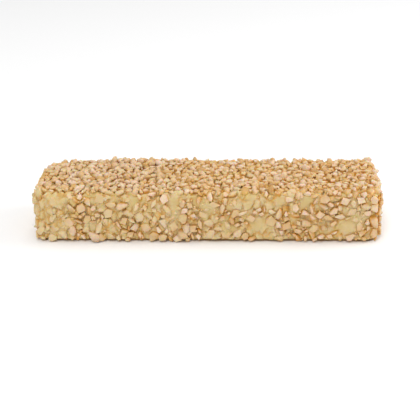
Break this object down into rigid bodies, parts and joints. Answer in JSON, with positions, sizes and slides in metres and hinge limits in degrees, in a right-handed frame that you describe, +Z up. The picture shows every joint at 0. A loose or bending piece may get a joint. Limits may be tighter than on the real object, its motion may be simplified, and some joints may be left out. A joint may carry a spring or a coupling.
{
  "type": "nougat slice",
  "caption": "Long rectangular slice of cream-covered cake with softly rounded edges, coated on the top and all sides with chopped nuts.",
  "frame": {"origin": "middle of the flat base, on the surface that the slice lies on", "axes": "+X along the slice, to the right as the picture shows it; +Y across it, away from the picture's viewer; +Z up"},
  "size_m": [0.25, 0.07, 0.039],
  "materials": {
    "nut_coat": "satin",
    "cream": "satin"
  },
  "bodies": {
    "root": {"nougat_slice": "nut_coat"}
  },
  "joints": []
}
